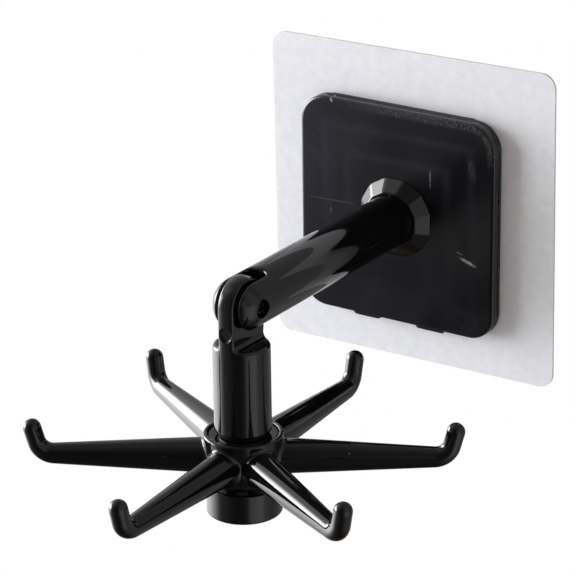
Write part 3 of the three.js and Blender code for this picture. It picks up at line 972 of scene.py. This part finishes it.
# Colour of the marks, which also paints the glint at the end of the lip.
MARK_AND_GLINT_COLOUR = "#b9b9be"
MARK_BREAKS = (3.0, -0.8)

# Ends of each mark on the face (x and z), and its width, all in millimetres, and how light it is.
MARKS_AND_GLINT = [
    ((11.6, 17.3), (11.7, 10.6), 0.35, 0.4),
    ((21.4, -8.3), (27.6, -10.3), 1.3, 0.5),
    ((20.4, -6.6), (23.2, -7.4), 0.5, 0.35),
    ((-31.7, 0.9), (-12.3, 1.5), 0.5, 0.08),
    ((-22.5, -0.6), (-22.4, -3.4), 0.5, 0.12),
    ((24.3, 23.5), (26.6, 15.0), 3.0, 0.025),
    # A painted glint at the end of the lip.
    ((-22.9, 33.0), (-21.7, 31.6), 1.0, 0.6),
]


def with_painted_glints(tree, place, axes, colour):
    """The colour with fine painted glints along the rim."""
    straight = (plate_half - PLATE_CORNER) * METRES_PER_MM
    squares = []
    for axis in ("X", "Z"):
        past = math_node(tree, "SUBTRACT", math_node(tree, "ABSOLUTE", axes[axis]), straight)
        past = math_node(tree, "MAXIMUM", 0.0, past)
        squares.append(math_node(tree, "MULTIPLY", past, past))
    from_centre = math_node(tree, "SQRT", math_node(tree, "ADD", *squares))
    on_rim = ramp(tree, from_centre, PLATE_CORNER - RIM_BAND_MM, PLATE_CORNER - RIM_BAND_MM / 2)
    band = math_node(tree, "MULTIPLY", on_rim, over_face(tree, axes, *GLINT_SPAN))
    # Painted glints, scattered by a fine noise.
    glitter = noise(tree, place, GLINT_SIZE_MM, detail=1.0)
    glint = spread(tree, glitter, 0, GLINT_STRENGTH, *GLINT_NOISE)
    return blended(tree, math_node(tree, "MULTIPLY", band, glint), colour, linear(PAINTED_GLINT_COLOUR))


def with_marks_and_glint(tree, place, grain, colour):
    """The colour with the light marks and the painted glint, broken up by the grain."""
    worn_and_glint = 0.0
    for start, end, width, lightness in MARKS_AND_GLINT:
        worn_and_glint = math_node(tree, "MULTIPLY_ADD", on_mark(tree, place, start, end, width), lightness, worn_and_glint)
    broken = math_node(tree, "MULTIPLY", worn_and_glint, math_node(tree, "MULTIPLY_ADD", grain, *MARK_BREAKS))
    return blended(tree, broken, colour, linear(MARK_AND_GLINT_COLOUR))


# %% [markdown]
# The layers go on one after another: the plastic with its painted sheen, the painted reflections
# over the ribs, the painted glints along the rim, the marks with the painted glint at the lip, and
# last the glue. The grain is also a bump, as fine as the hand can feel.

# %% Satin black ABS
GRAIN_MM = 0.7
GRAIN_BUMP = (0.3, 0.04)
SATIN_ROUGHNESS = (0.22, 0.3)


def satin_abs():
    material, tree, shader = new_material("satin_black_abs", IOR=ABS_IOR, Metallic=0.0)
    place = object_place(tree)
    axes = add_node(tree, "ShaderNodeSeparateXYZ", {"Vector": place}).outputs
    haze = noise(tree, place, HAZE_MM, detail=4.0)
    grain = noise(tree, place, GRAIN_MM)
    colour = streaky_sheened_colour(tree, place, axes, haze)
    colour = with_painted_rib_sheen(tree, axes, colour)
    colour = with_painted_glints(tree, place, axes, colour)
    colour = with_marks_and_glint(tree, place, grain, colour)
    colour = with_glue(tree, place, colour)
    connect(tree, shader, Base_Color=colour, Roughness=spread(tree, haze, *SATIN_ROUGHNESS))
    add_bump(tree, shader, grain, *GRAIN_BUMP)
    return material


satin_black = satin_abs()
for piece in (cover, backing):
    piece.data.materials.append(satin_black)
print("satin ABS with", len(MARKS_AND_GLINT), "marks on the plates")


# %% [markdown]
# The film is clear PET with a frosted face, over a soft clear adhesive. Frosting scatters light, so
# the sheet looks milky, with a faint mottle of a few millimetres where the adhesive has wetted the
# wall unevenly. A little see-through is left, which shows from behind.

# %% Frosted film and adhesive
PET_IOR = 1.5
MOTTLE_MM = 3
FROST_MM = 0.6
FROST_BUMP = (0.2, 0.03)
FROST_ROUGHNESS = 0.55


def frosted(name, pale, dim, see_through):
    material, tree, shader = new_material(
        name, IOR=PET_IOR, Roughness=FROST_ROUGHNESS, Alpha=1 - see_through
    )
    place = object_place(tree)
    mottle = spread(tree, noise(tree, place, MOTTLE_MM, detail=5.0, roughness=0.7), 0, 1)
    connect(tree, shader, Base_Color=blended(tree, mottle, linear(dim), linear(pale)))
    add_bump(tree, shader, noise(tree, place, FROST_MM), *FROST_BUMP)
    return material


def dress(node, material):
    """Gives a carried-over CAD node its material."""
    slots = frame["nodes"][node].data.materials
    slots.clear()
    slots.append(material)
    print(node, "is", material.name)


dress("sticker_film", frosted("frosted_pet_film", "#e9eaee", "#dddee3", 0.25))
dress("sticker_adhesive", frosted("clear_acrylic_adhesive", "#eceded", "#dfe1e1", 0.35))


# %% [markdown]
# The small hardware is real metal and nylon. Zinc plating is a bright grey with a slight blue cast
# and fine turning marks. The hinge screw is black oxide, which is dark and a little oily. Natural
# nylon is a soft off-white.

# %% Fastener metals and nylon
TURNING_MARK_MM = 0.3
TURNING_UNEVEN = 0.08
NYLON_IOR = 1.53
NYLON_ROUGHNESS = 0.45


def metal(name, base, mark, roughness):
    material, tree, shader = new_material(name, Metallic=1.0)
    turning = noise(tree, object_place(tree), TURNING_MARK_MM, detail=3.0)
    rough = spread(
        tree, turning, roughness - TURNING_UNEVEN, roughness + TURNING_UNEVEN, start=0, end=1
    )
    tint = blended(tree, turning, linear(base), linear(mark))
    connect(tree, shader, Base_Color=tint, Roughness=rough)
    return material


def nylon_material():
    material, tree, shader = new_material("natural_nylon", IOR=NYLON_IOR, Roughness=NYLON_ROUGHNESS)
    cloud = noise(tree, object_place(tree), HAZE_MM)
    connect(tree, shader, Base_Color=blended(tree, cloud, linear("#d5d1c4"), linear("#e6e3da")))
    return material


zinc = metal("zinc_plated_steel", "#b9bcc0", "#8d8f92", 0.32)
black_oxide = metal("black_oxide_steel", "#1a1a1c", "#232326", 0.35)
nylon = nylon_material()
for node in ("arm_screw", "arm_screw_washer", "hinge_nut", "wheel_screw", "wheel_washer"):
    dress(node, zinc)
dress("hinge_screw", black_oxide)
for node in ("hinge_washer_left", "hinge_washer_right"):
    dress(node, nylon)


# %% [markdown]
# Light decides how black gloss reads, and it comes in two parts. The first is two plain lamps far to
# the left, level with the rack, in the place of a tall window and the pane beside it. They light
# what scatters, such as the film and the plate, and cast the soft shade that lies on the film to the
# right of the plate. Gloss doesn't see them.

# %% Place the lamps
LAMP_AIM = (0, -0.1, 0)
LAMP_COLOUR = "#f7faff"

# Place (x, y, z) and size (across, up) in metres, and power in watts.
LAMPS = {
    "window": ((-2.0, -0.78, 0.03), (1.1, 1.9), 101),
    "side_pane": ((-2.0, -0.3, 0.03), (0.5, 1.6), 68),
}

for name, (place, (across, up), power) in LAMPS.items():
    data = bpy.data.lights.new(name, "AREA")
    data.shape = "RECTANGLE"
    data.size, data.size_y = across, up
    data.energy = power
    data.color = linear(LAMP_COLOUR)[:3]
    lamp = bpy.data.objects.new(name, data)
    lamp.location = place
    lamp.rotation_euler = (Vector(LAMP_AIM) - Vector(place)).to_track_quat("-Z", "Y").to_euler()
    lamp.visible_glossy = False
    bpy.context.scene.collection.objects.link(lamp)
    print(name, "lamp of", power, "W")


# %% [markdown]
# Gloss needs more than lamps: it mirrors the whole room. So for glossy rays the world is a dark room
# with soft patches of light in it, each given by the directions that it spans. The window is the
# bright one. The veil over it, its sill and the wall round it are dimmer, the right half of the
# room is a dull grey, and what is below is brown and nearly dark.
#
# The background in the picture is white because the world is white to the camera alone.

# %% Light the room that gloss mirrors
ROOM_DIFFUSE = 0.39
ROOM_DARK = 0.062
GROUND_SPAN = (-38, -62)
GROUND_TINT = "#ffdfc4"
DIFFUSE_TINT = "#fff4ea"

# Azimuth from and to, elevation from and to, softness of the edges (all in degrees), strength.
# Azimuth 0 looks straight out from the wall, and -90 looks left along it.
GLOWS = {
    "window": (-103, -56, -5, 22, 8, 12),
    "window_veil": (-103, -54, -26, 18, 15, 2.4),
    "sill": (-138, -68, -37, -7, 20, 1.65),
    "window_head": (-76, -42, 36, 60, 12, 0.35),
    "left_wall": (-129, -61, -12, 46, 26, 1.25),
    "lit_wall": (-218, -24, -44, 52, 33, 0.27),
    "right_wall": (45, 191, -60, 103, 22, 0.25),
    "right_panel": (72, 112, -62, 60, 16, 0.2),
    "right_door": (49, 94, -45, 5, 9, 0.5),
    "door_frame": (38, 58, 6, 30, 8, 0.26),
    "ceiling": (-216, 27, 56, 108, 38, 0.27),
}


def soft_step(tree, angle, start, end):
    """Zero where the angle is at the start, one where it reaches the end."""
    return add_node(tree, "ShaderNodeMapRange", {
        "Value": angle, "From Min": math.radians(start), "From Max": math.radians(end),
    }, interpolation_type="SMOOTHSTEP").outputs["Result"]


def soft_band(tree, angle, low, high, soft):
    """One between two angles, with soft edges."""
    rise = soft_step(tree, angle, low - soft, low + soft)
    return math_node(tree, "MULTIPLY", rise, soft_step(tree, angle, high + soft, high - soft))


world = bpy.data.worlds.new("pale_room")
bpy.context.scene.world = world
world.use_nodes = True
sky = world.node_tree
heading = add_node(sky, "ShaderNodeTexCoord").outputs["Generated"]
ways = add_node(sky, "ShaderNodeSeparateXYZ", {"Vector": heading}).outputs
azimuth = math_node(sky, "ARCTAN2", ways["X"], math_node(sky, "MULTIPLY", ways["Y"], -1.0))
elevation = math_node(sky, "ARCSINE", ways["Z"])

room = ROOM_DARK
for left, right, low, high, soft, strength in GLOWS.values():
    sides = soft_band(sky, azimuth, left, right, soft)
    patch = math_node(sky, "MULTIPLY", sides, soft_band(sky, elevation, low, high, soft))
    room = math_node(sky, "MULTIPLY_ADD", patch, strength, room)
print(len(GLOWS), "patches of light in the room")


# %% [markdown]
# Light Path tells the kinds of ray apart. Glossy rays get the room, rays that scatter get one even
# level with a warm tint, and the camera gets white.

# %% Give each kind of ray its world
rays = add_node(sky, "ShaderNodeLightPath").outputs
level = add_node(sky, "ShaderNodeMix", {
    "Factor": rays["Is Glossy Ray"], "A": ROOM_DIFFUSE, "B": room,
}, data_type="FLOAT")
shown = add_node(sky, "ShaderNodeMix", {
    "Factor": rays["Is Camera Ray"], "A": level.outputs["Result"], "B": 1.0,
}, data_type="FLOAT")
ground = math_node(sky, "MULTIPLY", soft_step(sky, elevation, *GROUND_SPAN), rays["Is Glossy Ray"])
tint = blended(sky, ground, linear("#ffffff"), linear(GROUND_TINT))
tint = blended(sky, rays["Is Diffuse Ray"], tint, linear(DIFFUSE_TINT))
sky.links.new(shown.outputs["Result"], sky.nodes["Background"].inputs["Strength"])
sky.links.new(tint, sky.nodes["Background"].inputs["Color"])

bpy.context.scene.view_settings.view_transform = "Standard"
print(world.name, "has", len(sky.nodes), "nodes")


# %% [markdown]
# The floor is a pale plane well below the rack, out of the picture's frame.

# %% Floor
FLOOR_DROP_M = 0.45
FLOOR_CORNERS_M = [(-1.5, -1.6), (1.5, -1.6), (1.5, 0.02), (-1.5, 0.02)]

floor_mesh = bpy.data.meshes.new("pale_floor")
floor_mesh.from_pydata([(x, y, -FLOOR_DROP_M) for x, y in FLOOR_CORNERS_M], [], [(0, 1, 2, 3)])
floor = bpy.data.objects.new("pale_floor", floor_mesh)
bpy.context.scene.collection.objects.link(floor)
floor_material, _, _ = new_material("pale_floor", Base_Color=linear("#e6e5e2"), Roughness=0.8)
floor_mesh.materials.append(floor_material)
floor.visible_glossy = False
print("floor", FLOOR_DROP_M, "m below the arm")
